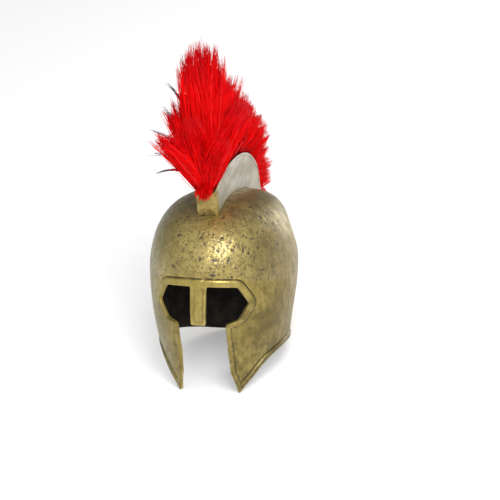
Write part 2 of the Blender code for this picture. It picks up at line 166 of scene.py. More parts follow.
# The hair along the crest. Length is a share of PLUME_LENGTH.
PLUME_PROFILE = (
    # along, length, lean forwards in degrees from upright
    (0.00, 1.02, -6),
    (0.10, 0.90, -8),
    (0.22, 0.70, -10),
    (0.36, 0.57, -24),
    (0.50, 0.43, -42),
    (0.60, 0.36, -60),
    (0.70, 0.30, -72),
    (0.84, 0.24, -91),
    (1.00, 0.22, -112),
)
# Loose tufts at the front of the hair
STRAY_TUFTS = (
    # along, side, length, lean and spread in degrees
    (0.02, -0.5, 0.63, 43, -28),
    (0.00, -0.5, 0.50, 38, -22),
    (0.05, -0.5, 0.68, 9, -27),
    (0.02, 0.5, 0.58, 40, 24),
    (0.00, 0.5, 0.36, 44, 18),
    (0.05, 0.5, 0.66, 8, 26),
    (0.00, 0.0, 0.62, 30, -4),
    (0.02, -0.4, 1.06, 6, -8),
    (0.03, 0.0, 1.12, 0, -5),
    (0.05, 0.2, 1.08, -3, -1),
    (0.05, 0.3, 0.99, -4, 2),
    (0.08, 0.3, 0.86, -7, 9),
)


def table_value(table, key, column):
    """Reads a table of rows at a key, on a smooth curve through the rows."""
    last = len(table) - 2
    i = next((k for k in range(last) if key < table[k + 1][0]), last)
    rows = [table[min(max(k, 0), len(table) - 1)] for k in (i - 1, i, i + 1, i + 2)]
    span = rows[2][0] - rows[1][0]
    slopes = []
    for before, after in ((rows[0], rows[2]), (rows[1], rows[3])):
        slopes.append((after[column] - before[column]) / (after[0] - before[0]) * span)
    u = min(max((key - rows[1][0]) / span, 0.0), 1.0)
    start = rows[1][column]
    rise = rows[2][column] - start
    bend = (3 * rise - 2 * slopes[0] - slopes[1]) * u**2
    return start + slopes[0] * u + bend + (slopes[0] + slopes[1] - 2 * rise) * u**3


def sections(rows):
    """Heights, half widths, front reaches and back reaches of the shell at row numbers."""
    table = np.array(SECTIONS)
    last = len(SECTIONS) - 2
    i = np.minimum(rows.astype(int), last)
    u = (rows - i)[:, None]
    a, b, c, d = (table[np.clip(i + k, 0, last + 1)] for k in (-1, 0, 1, 2))
    values = b + 0.5 * u * (c - a + u * (2 * a - 5 * b + 4 * c - d + u * (3 * (b - c) + d - a)))
    height = values[:, 0] * np.where(values[:, 0] > 0, CROWN_HEIGHT, CHEEK_DROP)
    return height, values[:, 1] * HALF_WIDTH, values[:, 2] * FRONT_REACH, values[:, 3] * BACK_REACH


TOP_ROW = len(SECTIONS) - 1.0
DENSE_ROWS = np.linspace(0, TOP_ROW, 6001)
DENSE_LEVELS = sections(DENSE_ROWS)


def rows_at(heights):
    return np.interp(heights, DENSE_LEVELS[0], DENSE_ROWS)


def plain_skin(rows, turns):
    height, width, front, back = sections(rows)
    y = (back - front) / 2 - (back + front) / 2 * np.cos(turns)
    return np.stack([width * np.sin(turns), y, height], axis=1)


def unit(vectors):
    return vectors / np.maximum(np.linalg.norm(vectors, axis=1, keepdims=True), 1e-12)


def normals(rows, turns):
    step = 0.02
    across = plain_skin(rows, turns + step) - plain_skin(rows, turns - step)
    above, below = np.minimum(rows + step, TOP_ROW), np.maximum(rows - step, 0)
    found = unit(np.cross(across, plain_skin(above, turns) - plain_skin(below, turns)))
    found[rows > TOP_ROW - step] = (0, 0, 1)
    return found


def smooth_step(values):
    values = np.clip(values, 0.0, 1.0)
    return values * values * (3 - 2 * values)


DENT_CENTRE = plain_skin(rows_at(np.array([DENT_HEIGHT])), np.array([DENT_TURN]))[0]


def skin(rows, turns, lift=0.0):
    """Points on the shell's outer skin, lifted off it by one distance or by one each."""
    points = plain_skin(rows, turns)
    dent = DENT_DEPTH * np.exp(-((np.linalg.norm(points - DENT_CENTRE, axis=1) / DENT_SIZE) ** 2))
    points = points + normals(rows, turns) * (lift - dent)[:, None]
    down = np.clip((BROW_EDGE - points[:, 2]) / NASAL_DROP, 0, 1)
    side = 1 - smooth_step((np.abs(points[:, 0]) - NASAL_HALF_WIDTH) / (SLOT_HALF_WIDTH - NASAL_HALF_WIDTH))
    points[:, 1] -= np.where(np.cos(turns) > 0, NASAL_FORWARD * down * side, 0)
    return points


def level(z):
    """Half width, front reach and back reach of the shell at one height."""
    return tuple(float(np.interp(z, DENSE_LEVELS[0], values)) for values in DENSE_LEVELS[1:])


def below_rim(turn, z):
    _, front, back = level(z)
    y = (back - front) / 2 - (back + front) / 2 * math.cos(turn)
    fall = table_value(LOWER_EDGE, y / (FRONT_REACH if y < 0 else BACK_REACH), 1)
    return z < -NECK_DROP - (CHEEK_DROP - NECK_DROP) * fall


def halved(low, high, is_low):
    """The value between low and high at which is_low stops being true."""
    for _ in range(32):
        middle = (low + high) / 2
        if is_low(middle):
            low = middle
        else:
            high = middle
    return low


def rim_height(turn):
    return halved(-1.24 * CHEEK_DROP, -0.2 * CHEEK_DROP, lambda z: below_rim(turn, z))


def turn_of(x, z):
    """The turn at which a point of the front view lies on the shell."""
    return math.asin(min(max(x / level(z)[0], -1), 1))


def rounded(corners, radius, steps=4):
    """An open outline with its corners rounded."""
    points = [Vector(corners[0])]
    for before, corner, after in zip(corners, corners[1:], corners[2:]):
        before, corner, after = Vector(before), Vector(corner), Vector(after)
        start = corner + (before - corner).normalized() * min(radius, (before - corner).length * 0.45)
        end = corner + (after - corner).normalized() * min(radius, (after - corner).length * 0.45)
        for k in range(steps + 1):
            u = k / steps
            points.append(start * (1 - u) ** 2 + corner * 2 * u * (1 - u) + end * u * u)
    points.append(Vector(corners[-1]))
    return points


# The shell's mesh, unrolled onto a plane of turn and height along the front of the shell
PLANE_RADIUS = 0.085
EDGE_SPACING = 0.00085
CORNER_ROUND = 0.0022
OUTSIDE_SPACING = 0.0021
FACE_SPACING = 0.00115
INSIDE_SPACING = 0.0032
FACE_TURN = 1.15
FACE_LOW = -0.008
CAP_HEIGHT = 0.91 * CROWN_HEIGHT
CAP_COLUMNS = 220
CAP_ROWS = 28
BORDER_BLEND = 0.004
EDGE_ROUND = 0.0009
EDGE_FALL = 0.0008
SHOULDER = 0.0005
GROOVE_DEPTH = 0.0006
GROOVE_WIDTH = 0.0007
GROOVE_OUT = 0.0010
GROOVE_SHARES = ((NASAL_BORDER, 0.30), (SLOT_BORDER, 0.5), (RIM_BORDER, 1.0))
RIM_LINE = 0.52
EDGE_WALL_SHARES = (0.35, 0.8)


def lengths_along(points):
    """The distance along a path at each of its points."""
    return np.concatenate([[0], np.cumsum(np.linalg.norm(np.diff(points, axis=0), axis=1))])


FRONT_ARC = lengths_along(plain_skin(DENSE_ROWS, 0 * DENSE_ROWS))


def to_plane(turns, rows):
    return np.stack([turns * PLANE_RADIUS, np.interp(rows, DENSE_ROWS, FRONT_ARC)], axis=1)


def from_plane(points):
    return points[:, 0] / PLANE_RADIUS, np.interp(points[:, 1], FRONT_ARC, DENSE_ROWS)


def spaced(path, spacing):
    """Even samples (turn, row) along a path of (turn, height) on the shell."""
    path = np.array(path)
    places = skin(rows_at(path[:, 1]), path[:, 0])
    along = lengths_along(places)
    marks = np.linspace(0, along[-1], max(2, round(along[-1] / spacing)) + 1)
    turns, heights = (np.interp(marks, along, path[:, k]) for k in range(2))
    return np.stack([turns, rows_at(heights)], axis=1)


def face_path():
    """The face opening's edge in the front view, from the foot of the slot to the nasal guard's tip."""
    eye_low = BROW_EDGE - EYE_HEIGHT
    corners = [(SLOT_HALF_WIDTH * width, -CHEEK_DROP * drop) for drop, width in reversed(SLOT_SHAPE)]
    corners += [
        (SLOT_HALF_WIDTH, eye_low - SLOT_SHOULDER),
        (EYE_CORNER, eye_low),
        (EYE_HALF_WIDTH, BROW_EDGE - EYE_HEIGHT * EYE_POINT),
        (EYE_CORNER, BROW_EDGE),
        (NASAL_HALF_WIDTH, BROW_EDGE),
        (NASAL_HALF_WIDTH * NASAL_TAPER, -NASAL_DROP),
        (0, -NASAL_DROP),
    ]
    return rounded(corners, CORNER_ROUND)


def slot_turn(z):
    """The turn of the slot's edge at a height below its shoulder."""
    drops = [-CHEEK_DROP * drop for drop, _ in reversed(SLOT_SHAPE)]
    widths = [SLOT_HALF_WIDTH * width for _, width in reversed(SLOT_SHAPE)]
    return turn_of(float(np.interp(z, drops, widths)), z)


def face_widths(samples):
    """The border's width at each sample of the face opening's edge."""
    points = plain_skin(samples[:, 1], samples[:, 0])
    x, z = points[:, 0], points[:, 2]
    eye_low = BROW_EDGE - EYE_HEIGHT
    share = smooth_step((z - eye_low) / BORDER_BLEND)
    widths = SLOT_BORDER + (EYE_BORDER - SLOT_BORDER) * share
    on_nasal = (x < NASAL_HALF_WIDTH * 1.05) & (z < BROW_EDGE - CORNER_ROUND / 4)
    return np.where(on_nasal, NASAL_BORDER, widths)


def half_edge():
    """The shell's edge on the wearer's left: the rim from nape to cheek tip, and the face opening."""
    tip = halved(-1.19 * CHEEK_DROP, -0.7 * CHEEK_DROP, lambda z: below_rim(slot_turn(z), z))
    tip_turn = slot_turn(tip)
    rim = spaced([(turn, rim_height(turn)) for turn in np.linspace(math.pi, tip_turn, 240)], EDGE_SPACING)
    face = [(tip_turn, tip)]
    for x, z in face_path():
        if x < SLOT_HALF_WIDTH * 0.9 or z > tip + EDGE_SPACING:
            face.append((turn_of(x, z), z))
    face = spaced(face, EDGE_SPACING)
    rim = np.column_stack([rim, np.full(len(rim), RIM_BORDER)])
    return rim, np.column_stack([face, face_widths(face)])


def whole_edge():
    """Samples (turn, row, border width, rim flag) all along the shell's edge, from nape round to nape."""
    rim, face = half_edge()
    half = np.concatenate([rim, face[1:]])
    flags = np.arange(len(half)) < len(rim)
    half = np.column_stack([half, flags])
    return np.concatenate([half * (-1, 1, 1, 1), half[-2::-1]])


class Edge:
    """The shell's edge as samples in space, with distances from them."""

    def __init__(self, samples):
        self.turns, self.rows, self.widths, self.rim = samples.T
        self.points = skin(self.rows, self.turns)
        self.tree = kdtree.KDTree(len(samples))
        for i, point in enumerate(self.points):
            self.tree.insert(point, i)
        self.tree.balance()

    def nearest(self, points):
        """Distance to the edge, and the nearest sample."""
        found = np.array([self.tree.find(point)[1] for point in points])
        best = np.full(len(points), np.inf)
        for start in (found - 1, found):
            start = np.clip(start, 0, len(self.points) - 2)
            base = self.points[start]
            along = self.points[start + 1] - base
            share = ((points - base) * along).sum(axis=1) / (along**2).sum(axis=1)
            off = points - base - along * np.clip(share, 0, 1)[:, None]
            best = np.minimum(best, np.linalg.norm(off, axis=1))
        return best, found

    def moved_in(self, distances):
        """Points of the plane at a distance each inwards of the samples."""
        step = 0.001
        along = unit(np.gradient(self.points, axis=0))
        inward = np.cross(normals(self.rows, self.turns), along)
        plane = to_plane(self.turns, self.rows)
        axes = []
        for shift in ((step, 0), (0, step)):
            turns, rows = from_plane(plane + shift)
            axes.append((skin(rows, turns) - self.points) / step)
        squares = [[(a * b).sum(axis=1) for b in axes] for a in axes]
        sides = [(a * inward).sum(axis=1) for a in axes]
        scale = squares[0][0] * squares[1][1] - squares[0][1] ** 2
        right = (sides[0] * squares[1][1] - sides[1] * squares[0][1]) / scale
        up = (sides[1] * squares[0][0] - sides[0] * squares[0][1]) / scale
        return plane + np.stack([right, up], axis=1) * distances[:, None]


def thinned(points, cell):
    """Keeps the first point in each cell of a grid."""
    keys = np.floor(points / cell).astype(int)
    _, first = np.unique(keys, axis=0, return_index=True)
    return points[np.sort(first)]


def hexagonal(low, high, spacing):
    """Points of a triangular grid in a rectangle of the plane."""
    points = []
    for k, y in enumerate(np.arange(low[1], high[1], spacing * 0.866)):
        x = np.arange(low[0] + spacing / 2 * (k % 2), high[0], spacing)
        points.append(np.stack([x, np.full(len(x), y)], axis=1))
    return np.concatenate(points)


def within(outline, points):
    """Which points of the plane lie inside a closed outline."""
    order = np.argsort(points[:, 1])
    heights = points[order, 1]
    crossings = np.zeros(len(points), dtype=int)
    for (x, y), (next_x, next_y) in zip(outline, np.roll(outline, -1, axis=0)):
        low, high = np.searchsorted(heights, sorted((y, next_y)))
        if low < high:
            chosen = order[low:high]
            at = x + (next_x - x) * (points[chosen, 1] - y) / (next_y - y)
            crossings[chosen] += at > points[chosen, 0]
    return crossings % 2 == 1


def sheet(edge, spacing, face_spacing, offsets, clear):
    """Turns and rows of the skin's points up to the cap, the edge's samples first, and its triangles."""
    cap_row = rows_at(np.array([CAP_HEIGHT]))[0]
    rim = to_plane(edge.turns, edge.rows)
    top = to_plane(np.linspace(math.pi, -math.pi, CAP_COLUMNS + 1), np.full(CAP_COLUMNS + 1, cap_row))
    side = np.arange(rim[0][1] + spacing, top[0][1] - spacing / 2, spacing)
    seam = np.stack([np.full(len(side), math.pi * PLANE_RADIUS), side], axis=1)
    outline = np.concatenate([rim, seam, top, (seam * (-1, 1))[::-1]])
    candidates = []
    for offset in offsets(edge.widths):
        points = edge.moved_in(offset)
        turns, rows = from_plane(points)
        distance, _ = edge.nearest(skin(rows, turns))
        candidates.append(points[(distance > 0.9 * offset) & (offset > 0)])
    low = (-math.pi * PLANE_RADIUS, rim[:, 1].min())
    high = (math.pi * PLANE_RADIUS, top[0][1])
    face_low = to_plane(np.array([FACE_TURN]), rows_at(np.array([FACE_LOW])))[0]
    wide = hexagonal(low, high, spacing)
    near_face = (np.abs(wide[:, 0]) < face_low[0]) & (wide[:, 1] > face_low[1])
    fine = hexagonal((-face_low[0], face_low[1]), (face_low[0], high[1]), face_spacing)
    grid = np.concatenate([wide[~near_face], fine])
    turns, rows = from_plane(grid)
    distance, found = edge.nearest(skin(rows, turns))
    grid = grid[distance > edge.widths[found] + clear]
    inner = thinned(np.concatenate([*candidates, grid]), 0.0004)
    inset = spacing * 0.45
    inner = inner[(np.abs(inner[:, 0]) < high[0] - inset) & (inner[:, 1] < high[1] - inset)]
    points = np.concatenate([outline, inner])
    loop = list(range(len(outline)))
    made = geometry.delaunay_2d_cdt([Vector(p) for p in points * 1000], [], [loop], 1, 1e-5, False)
    placed = np.array([tuple(p) for p in made[0]]) / 1000
    faces = np.array([tuple(face) for face in made[2]])
    assert np.allclose(placed[: len(rim)], rim, atol=1e-5)
    faces = faces[within(outline, placed[faces].mean(axis=1))]
    return (*from_plane(placed), faces)


def cap(columns, rows_count):
    """Turns, rows and faces of the crown above the cap height, down to the sheet's top samples."""
    low = rows_at(np.array([CAP_HEIGHT]))[0]
    turns = np.linspace(math.pi, -math.pi, columns + 1)
    levels = low + (TOP_ROW - low) * np.linspace(0, 1, rows_count + 1)
    grid_turns = np.tile(turns, rows_count + 1)
    grid_rows = np.repeat(levels, columns + 1)
    faces = []
    for k in range(rows_count):
        start = k * (columns + 1)
        for i in range(columns):
            a, b = start + i, start + i + 1
            c, d = b + columns + 1, a + columns + 1
            faces.append((b, a, d))
            faces.append((b, d, c))
    return grid_turns, grid_rows, np.array(faces)


def cloud(points, scale, seed):
    """Smooth noise from -1 to 1 at points in metres, with lumps about one over scale across."""
    shift = Vector((seed * 7.3, seed * 3.1, seed * 5.7))
    return np.array([noise.noise(Vector(point) * scale + shift) for point in points])


def band(edge, points):
    """How far each point is from the edge and past the raised border, the border's width and the rim."""
    distance, found = edge.nearest(points)
    past = distance - edge.widths[found]
    on_root = np.abs(points[:, 0]) < NASAL_HALF_WIDTH * 1.1
    low, high = BROW_EDGE - NASAL_BORDER, BROW_EDGE + EYE_BORDER
    root = np.maximum(low - points[:, 2], points[:, 2] - high)
    at_front = on_root & (points[:, 1] < 0)
    past = np.where(at_front, np.minimum(past, root), past)
    return distance, past, edge.widths[found], edge.rim[found] > 0.5


def dip(values, width):
    return np.exp(-((values / width) ** 2))


def border_relief(distance, past, widths, on_rim):
    """Lift of the raised border, with its rounded edge, its shoulder and the cut line outside it."""
    lift = BORDER_RAISE * (1 - smooth_step((past + SHOULDER) / (2 * SHOULDER)))
    lift -= EDGE_FALL * np.clip(1 - distance / EDGE_ROUND, 0, 1) ** 2
    groove = dip(past - GROOVE_OUT, GROOVE_WIDTH) * np.interp(widths, *zip(*GROOVE_SHARES))
    line = np.where(on_rim, dip(distance - RIM_LINE * widths, GROOVE_WIDTH * 0.8), 0)
    # The second value marks the cut lines, which are painted dark as painted shade and grime.
    return lift - GROOVE_DEPTH * (groove + line * 0.9), np.maximum(groove, line)


PIT_COUNT = 230
PIT_MIDDLE = 0.25
PIT_TURN = 1.1
PLAIN_PITS = 0.3
NASAL_PITS = 0.5
PIT_HEIGHTS = (0.004, 0.100)
PIT_SIZES = (0.0005, 0.0014)
PIT_DEPTHS = (0.0002, 0.0006)
SCRATCH_SHARE = 0.5
SCRATCH_STRETCH = 3.5
PIT_SEED = 11
DOME_SWELL = 0.00035
DOME_RIPPLE = 0.00012


def pits(points):
    """Depth of the nicks and scratches hammered into the forehead; the depth also sets their painted shade
    and grime.
    """
    chance = np.random.default_rng(PIT_SEED)
    depth = np.zeros(len(points))
    near = np.where(points[:, 1] < 0)[0]
    for _ in range(PIT_COUNT):
        turn = chance.normal(PIT_MIDDLE, PIT_TURN / 2)
        height = chance.uniform(*PIT_HEIGHTS)
        centre = plain_skin(rows_at(np.array([height])), np.array([turn]))[0]
        size = chance.uniform(*PIT_SIZES)
        deep = chance.uniform(*PIT_DEPTHS)
        along = unit(np.array([chance.normal(0, 1, 3)]))[0]
        long = SCRATCH_STRETCH if chance.random() < SCRATCH_SHARE else 1.2
        off = points[near] - centre
        run = off @ along
        across = (off**2).sum(axis=1) - run**2
        depth[near] += deep * np.exp(-across / size**2 - (run / (size * long)) ** 2)
    return np.minimum(depth, PIT_DEPTHS[1])


# Where the gold is darker, as smooth steps along one direction of the wearer's frame each: tarnish together
# with painted shade, on both sides, on the dome's top and on the lower part
TARNISH_AND_SHADE = (
    # axis, starts at, full at, amount
    (0, 0.034, 0.078, 0.52),
    (0, -0.045, -0.080, 0.58),
    (2, 0.055, 0.098, 0.64),
    (2, -0.006, -0.045, 0.56),
)
NASAL_POLISH = 0.8


def tarnish_and_shade(points):
    """How dark the gold is made at points of the shell, from 0 to 1: tarnish together with painted shade."""
    bright = np.ones(len(points))
    for axis, start, full, amount in TARNISH_AND_SHADE:
        bright *= 1 - amount * smooth_step((points[:, axis] - start) / (full - start))
    on_nasal = (np.abs(points[:, 0]) < NASAL_HALF_WIDTH) & (points[:, 1] < 0) & (points[:, 2] < BROW_EDGE)
    return np.where(on_nasal, (1 - bright) * (1 - NASAL_POLISH), 1 - bright)


def shell_surface(edge, turns, rows):
    """Outside points of the shell with their relief, and the painted shade and grime in their cut lines and
    pits.
    """
    flat = skin(rows, turns)
    distance, past, widths, on_rim = band(edge, flat)
    lift, dark = border_relief(distance, past, widths, on_rim)
    open_skin = smooth_step((past - GROOVE_OUT) / 0.004)
    lift = lift + open_skin * (DOME_SWELL * cloud(flat, 26, 1) + DOME_RIPPLE * cloud(flat, 110, 2))
    pitted = pits(flat) * smooth_step((past - GROOVE_OUT) / 0.002)
    lift = lift - pitted
    # Cut lines and pits are painted dark: painted shade in these hollows, with grime.
    shade_and_dirt = np.clip(dark + pitted / PIT_DEPTHS[1], 0, 1)
    upright = smooth_step((flat[:, 2] - 0.002) / 0.006) * smooth_step((0.100 - flat[:, 2]) / 0.030)
    worn = PLAIN_PITS + (1 - PLAIN_PITS) * dip(turns - PIT_MIDDLE, PIT_TURN) * upright
    nasal = (np.abs(flat[:, 0]) < NASAL_HALF_WIDTH) & (flat[:, 1] < 0) & (flat[:, 2] < BROW_EDGE)
    open_skin = np.where(nasal, NASAL_PITS / PLAIN_PITS, open_skin)
    values = {"shade_and_dirt": shade_and_dirt, "pitted": worn * open_skin, "tarnish_and_shade": tarnish_and_shade(flat), "side": flat[:, 0]}
    return skin(rows, turns, lift), values, lift


def border_rows(widths):
    """Distances in from the edge at which the border's mesh has rows."""
    near = [np.full(len(widths), value) for value in (0.0003, 0.00065, 0.00105, 0.0016)]
    lines = [widths * RIM_LINE + value for value in (-0.0007, -0.00035, 0, 0.00035, 0.0007)]
    shoulder = (-0.0006, -0.00025, 0.00005, 0.00035, 0.00065, 0.00095, 0.0013, 0.0018, 0.0025)
    return near + lines + [widths + value for value in shoulder]


def inside_rows(widths):
    return [np.full(len(widths), value) for value in (0.0012, 0.003)]


def add_object(name, data):
    obj = bpy.data.objects.new(name, data)
    bpy.context.scene.collection.objects.link(obj)
    return obj


def mesh_piece(name, points, faces, material, attributes=None, face_materials=None):
    """A smooth mesh object from arrays of points in the world and triangles."""
    mesh = bpy.data.meshes.new(name)
    mesh.vertices.add(len(points))
    mesh.vertices.foreach_set("co", points.astype(np.float32).ravel())
    mesh.loops.add(3 * len(faces))
    mesh.loops.foreach_set("vertex_index", faces.astype(np.int32).ravel())
    mesh.polygons.add(len(faces))
    mesh.polygons.foreach_set("loop_start", np.arange(0, 3 * len(faces), 3, dtype=np.int32))
    if face_materials is not None:
        mesh.polygons.foreach_set("material_index", face_materials.astype(np.int32))
    mesh.update(calc_edges=True)
    for key, values in (attributes or {}).items():
        mesh.attributes.new(key, "FLOAT", "POINT").data.foreach_set("value", values.astype(np.float32))
    mesh.shade_smooth()
    for one in material if isinstance(material, (list, tuple)) else [material]:
        mesh.materials.append(one)
    return add_object(name, mesh)


def stance():
    """The matrix from the wearer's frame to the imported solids' frame."""
    turn = Matrix.Rotation(-STANCE_TILT, 4, "X")
    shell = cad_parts["helmet_shell"]
    places = [turn.inverted() @ shell.matrix_world @ v.co for v in shell.data.vertices]
    up = max(p.z for p in places) - CROWN_HEIGHT
    back = max(p.y for p in places) - BACK_REACH
    return turn @ Matrix.Translation((0, back, up))


STANCE = stance()


def to_world(points):
    matrix = np.array(STANCE)
    moved = points @ matrix[:3, :3].T + matrix[:3, 3]
    moved[:, 2] = np.maximum(moved[:, 2], 0)
    return moved


def weld(points, faces, values, reach=2e-6):
    """Joins points that lie together, and drops faces that close up and points that no face uses."""
    keys = np.round(points / reach).astype(np.int64)
    _, first, back = np.unique(keys, axis=0, return_index=True, return_inverse=True)
    faces = back.ravel()[faces]
    good = (faces[:, 0] != faces[:, 1]) & (faces[:, 1] != faces[:, 2]) & (faces[:, 2] != faces[:, 0])
    used, faces = np.unique(faces[good], return_inverse=True)
    first = first[used]
    return points[first], faces.reshape(-1, 3), {key: value[first] for key, value in values.items()}, good


def helmet_shell(gold, inside):
    """The shell: its worked outside, its rounded edge and its plain inside."""
    samples = whole_edge()
    edge = Edge(samples)
    count = len(samples)
    turns, rows, faces = sheet(edge, OUTSIDE_SPACING, FACE_SPACING, border_rows, 0.0026)
    outer, values, lift = shell_surface(edge, turns, rows)
    cap_turns, cap_rows, cap_faces = cap(CAP_COLUMNS, CAP_ROWS)
    cap_outer, cap_values, _ = shell_surface(edge, cap_turns, cap_rows)
    in_turns, in_rows, in_faces = sheet(edge, INSIDE_SPACING, INSIDE_SPACING, inside_rows, 0)
    parts = [outer]
    for share in EDGE_WALL_SHARES:
        parts.append(skin(samples[:, 1], samples[:, 0], lift[:count] * (1 - share) - WALL * share))
    parts.append(skin(in_rows, in_turns, -WALL))
    starts = np.cumsum([0] + [len(part) for part in parts])
    strips = []
    rings = [np.arange(count) + start for start in starts[:-1]]
    for first, second in zip(rings, rings[1:]):
        a, b, c, d = first[:-1], first[1:], second[1:], second[:-1]
        strips += [np.stack([a, c, b], axis=1), np.stack([a, d, c], axis=1)]
    parts += [cap_outer, skin(cap_rows, cap_turns, -WALL)]
    points = np.concatenate(parts)
    outside_faces = np.concatenate([faces, cap_faces + starts[-1], *strips])
    inside_faces = np.concatenate([in_faces + starts[-2], cap_faces + starts[-1] + len(cap_outer)])[:, ::-1]
    every = {}
    for key in values:
        every[key] = np.zeros(len(points))
        every[key][: len(outer)] = values[key]
        every[key][starts[-1] : starts[-1] + len(cap_outer)] = cap_values[key]
    kinds = np.arange(len(outside_faces) + len(inside_faces)) >= len(outside_faces)
    faces = np.concatenate([outside_faces, inside_faces])
    points, faces, every, kept = weld(to_world(points), faces, every)
    obj = mesh_piece("helmet_shell_looks", points, faces, [gold, inside], every, kinds[kept])
    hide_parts("helmet_shell")
    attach(obj, "root")
    return obj


def crest_line(along):
    """The pivot and the direction of the crest's cross-section at a place along its arch."""
    pitch = math.radians(table_value(CREST_PROFILE, along, 1))
    pivot = np.array([0, -FRONT_REACH * table_value(CREST_PROFILE, along, 2), CREST_PIVOT_UP])
    return pivot, np.array([0, -math.cos(pitch), math.sin(pitch)])


def arch_point(x, along, radius):
    pivot, direction = crest_line(along)
    return pivot + direction * radius + (x, 0, 0)


def reach(x, along):
    """Distance from the crest's pivot to the skin in the upright plane at x."""

    def inside(radius):
        point = arch_point(x, along, radius)
        if point[2] >= CROWN_HEIGHT:
            return False
        width, front, back = level(point[2])
        off = (point[1] - (back - front) / 2) / ((back + front) / 2)
        return width > 0 and (x / width) ** 2 + off**2 < 1

    return halved(0.0, 2 * BACK_REACH, inside)


def crest_top(along):
    return reach(0, along) + CREST_HEIGHT * table_value(CREST_PROFILE, along, 3)


def crest_square(along):
    """The direction square to the crest's upper edge, away from the head."""
    step = 0.02
    before, after = (arch_point(0, place, crest_top(place)) for place in (along - step, along + step))
    return Vector(np.cross((1, 0, 0), after - before)).normalized()


CREST_STEPS = 170
CREST_MARKS = 41
CREST_SEAT = 0.0003
CREST_ROUND = 0.0008
CREST_LINE_DOWN = 0.0046
CREST_LINE_DEPTH = 0.0006
CREST_SIDE_POINTS = 18
CREST_SWELL = 0.00025
# Where the crest's gold front end fades into the sides' painted pale reflection, as a share of the arch
GOLD_FRONT = 0.035


def crest_section(along, inset):
    """The crest's cross-section at a place, as (x, radius, painted shade), drawn in by a distance at its
    ends.
    """
    half = CREST_WIDTH / 2
    lip = half - LIP_WIDTH
    foot = reach(half, along) + CREST_SEAT
    middle = reach(0, along) + CREST_SEAT
    top = crest_top(along)
    corner = CREST_ROUND
    side = []
    for k in range(CREST_SIDE_POINTS + 1):
        radius = foot + (top - corner - foot) * (k / CREST_SIDE_POINTS)
        side.append((half, radius, 0))
    line = top - CREST_LINE_DOWN
    # The cut line along each side is painted dark: painted shade in the groove.
    for share, deep in ((-1.6, 0), (-0.8, 0.3), (0, 0.6), (0.8, 0.3), (1.6, 0)):
        side.append((half - CREST_LINE_DEPTH * deep, line + share * GROOVE_WIDTH, deep))
    side.sort(key=lambda p: p[1])
    wall = half - CREST_WALL
    # The foot, where the crest sits on the shell, is painted dark: painted shade.
    half_section = [(0, middle, 1), (wall, reach(wall, along) + CREST_SEAT, 1), *side]
    # The rounded top corner darkens towards the top, and the lips and the channel between them are dark:
    # painted shade under the hair.
    for k in range(1, 5):
        angle = math.radians(90 * k / 4)
        dark = k / 4
        x = half - corner + corner * math.cos(angle)
        half_section.append((x, top - corner + corner * math.sin(angle), dark))
    for k in range(5):
        angle = math.radians(90 * k / 4)
        x = lip + corner * (1 - math.sin(angle))
        half_section.append((x, top - corner * (1 - math.cos(angle)), 1))
    half_section.append((lip, top - LIP_HEIGHT, 1))
    half_section.append((0, top - LIP_HEIGHT, 1))
    points = []
    for x, radius, shade_and_dirt in half_section:
        x *= 1 - inset / half
        radius = middle + (radius - middle) * (1 - inset / (top - middle))
        points.append((x, radius, shade_and_dirt))
    other = [(-x, radius, shade_and_dirt) for x, radius, shade_and_dirt in points[-2:0:-1]]
    return points + other


def crest_holder(material):
    """The crest's arch, with rounded lips and a cut line along each side."""
    points, shade_and_dirt, fronts = [], [], []
    upper_edge = [arch_point(0, along, crest_top(along)) for along in np.linspace(0, 1, CREST_MARKS)]
    corner = CREST_ROUND / lengths_along(upper_edge)[-1]
    stations = []
    for k in range(5):
        angle = math.radians(90 * k / 4)
        stations.append((corner * (1 - math.cos(angle)), CREST_ROUND * (1 - math.sin(angle))))
    ends = [(1 - along, inset) for along, inset in reversed(stations)]
    middle = [(along, 0) for along in np.linspace(corner, 1 - corner, CREST_STEPS)[1:-1]]
    stations = stations + middle + ends
    for along, inset in stations:
        section = crest_section(along, inset)
        pivot, direction = crest_line(along)
        for x, radius, dark in section:
            points.append(pivot + direction * radius + (x, 0, 0))
            shade_and_dirt.append(dark)
            # Gold at the front end; the rest of the crest gets the painted pale reflection.
            fronts.append(1 - smooth_step((along - GOLD_FRONT) / GOLD_FRONT))
    points = np.array(points)
    size = len(section)
    swell = CREST_SWELL * cloud(points, 70, 4) - CREST_SWELL
    points[:, 0] += np.where(np.abs(points[:, 0]) > CREST_WIDTH * 0.45, np.sign(points[:, 0]) * swell, 0)
    faces = []
    for k in range(len(stations) - 1):
        for i in range(size):
            a, b = k * size + i, k * size + (i + 1) % size
            faces += [(a, b, b + size), (a, b + size, a + size)]
    for start, flip in ((0, False), ((len(stations) - 1) * size, True)):
        ring = [Vector(points[start + i]) for i in range(size)]
        for corners in geometry.tessellate_polygon([ring]):
            corners = corners[::-1] if flip else corners
            faces.append(tuple(start + i for i in corners))
    values = {"shade_and_dirt": np.array(shade_and_dirt, dtype=float), "front": np.array(fronts)}
    obj = mesh_piece("crest_holder_looks", to_world(points), np.array(faces), material, values)
    bm = bmesh.new()
    bm.from_mesh(obj.data)
    bmesh.ops.recalc_face_normals(bm, faces=bm.faces)
    bm.to_mesh(obj.data)
    bm.free()
    obj.data.set_sharp_from_angle(angle=math.radians(50))
    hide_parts("crest_holder")
    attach(obj, "root")
    return obj


def lock_direction(lean, spread):
    """A direction that leans forwards and spreads sideways, both in radians from upright."""
    return Vector((math.sin(spread), -math.sin(lean) * math.cos(spread), math.cos(lean) * math.cos(spread)))


